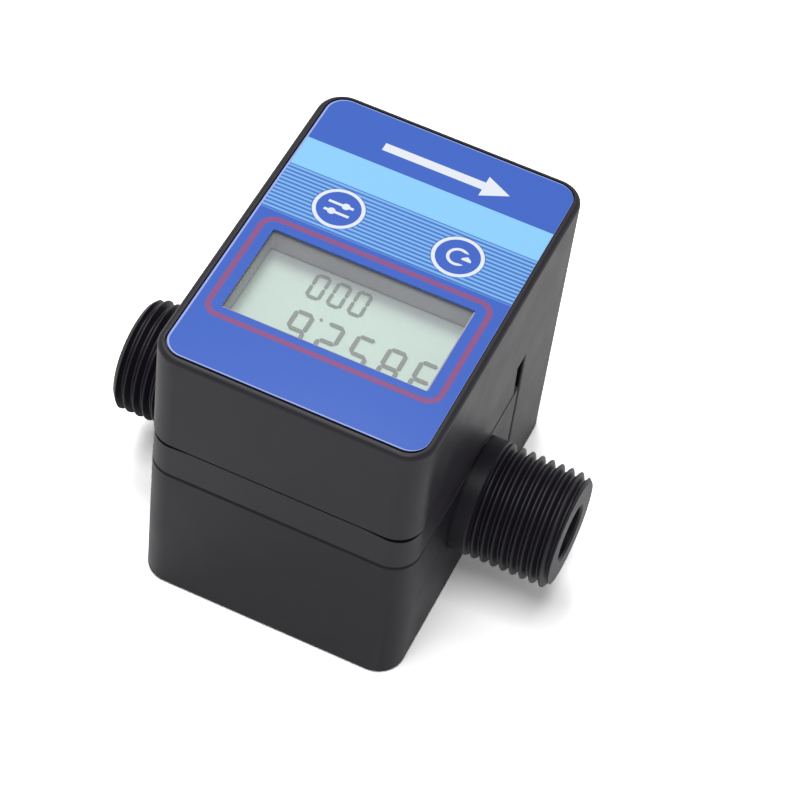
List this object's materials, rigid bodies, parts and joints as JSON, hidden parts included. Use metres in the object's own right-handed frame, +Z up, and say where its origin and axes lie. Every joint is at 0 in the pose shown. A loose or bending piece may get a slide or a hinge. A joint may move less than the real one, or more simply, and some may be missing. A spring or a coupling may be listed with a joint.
{
  "type": "gear flow meter",
  "caption": "Compact in-line gear flow meter: black moulded housing, male pipe thread at each side, sunk display and film keys on top, meshing gears inside.",
  "frame": {"origin": "on the underside, in the middle of the housing's width and depth", "axes": "+Z up, +X the way the liquid flows (inlet at -X, outlet at +X), -Y the front, nearest to the display"},
  "size_m": [0.0833, 0.068, 0.06],
  "materials": {
    "housing_plastic": "fine spark-eroded mould texture",
    "label_film": "printed polyester film, satin",
    "window_pane": "clear acrylic sheet",
    "display_glass": "glass with a pale reflective layer behind it",
    "frame_plastic": "moulded, off-white",
    "gear_polymer": "moulded engineering polymer",
    "magnet_ferrite": "sintered, ground",
    "shaft_steel": "ground",
    "screw_steel": "zinc plated",
    "contact_metal": "nickel plated strip",
    "cell_can": "plain sleeve",
    "seal_rubber": "matt",
    "board_laminate": "green solder mask",
    "component_plastic": "moulded, fine grain",
    "plunger_plastic": "moulded"
  },
  "bodies": {
    "housing": {"gear_body": "housing_plastic", "chamber_lid": "housing_plastic", "display_cover": "housing_plastic", "battery_door": "housing_plastic", "face_label": "label_film", "display_window": "window_pane", "lcd_glass": "display_glass", "lcd_frame": "frame_plastic", "sensing_shaft": "shaft_steel", "idler_shaft": "shaft_steel", "assembly_screws": "screw_steel", "board_screws": "screw_steel", "door_screws": "screw_steel", "battery_terminals": "contact_metal", "battery_bridge": "contact_metal", "battery_cells": "cell_can", "lid_seal": "seal_rubber", "door_seal": "seal_rubber", "zebra_strips": "seal_rubber", "circuit_board": "board_laminate", "sensor_board": "board_laminate", "controller_chip": "component_plastic", "hall_sensor": "component_plastic", "switch_bases": "component_plastic"},
    "sensing_gear": {"sensing_gear": "gear_polymer", "sensing_magnet": "magnet_ferrite"},
    "idler_gear": {"idler_gear": "gear_polymer"},
    "reset_key": {"reset_key": "label_film", "reset_switch_plunger": "plunger_plastic"},
    "calibrate_key": {"calibrate_key": "label_film", "calibrate_switch_plunger": "plunger_plastic"}
  },
  "joints": [
    {"name": "sensing_gear_spin", "type": "hinge", "parent": "housing", "child": "sensing_gear", "pos_m": [0, 0.0016, 0.0202], "axis": [0, 0, 1], "continuous": true},
    {"name": "idler_gear_spin", "type": "hinge", "parent": "housing", "child": "idler_gear", "pos_m": [0, -0.0116, 0.0202], "axis": [0, 0, 1], "continuous": true},
    {"name": "reset_key_press", "type": "slide", "parent": "housing", "child": "reset_key", "axis": [0, 0, -1], "range_m": [0, 0.0003], "stiffness_N_per_m": 3000},
    {"name": "calibrate_key_press", "type": "slide", "parent": "housing", "child": "calibrate_key", "axis": [0, 0, -1], "range_m": [0, 0.0003], "stiffness_N_per_m": 3000}
  ],
  "couplings": [
    {"joint": "idler_gear_spin", "follows": "sensing_gear_spin", "ratio": -1}
  ]
}
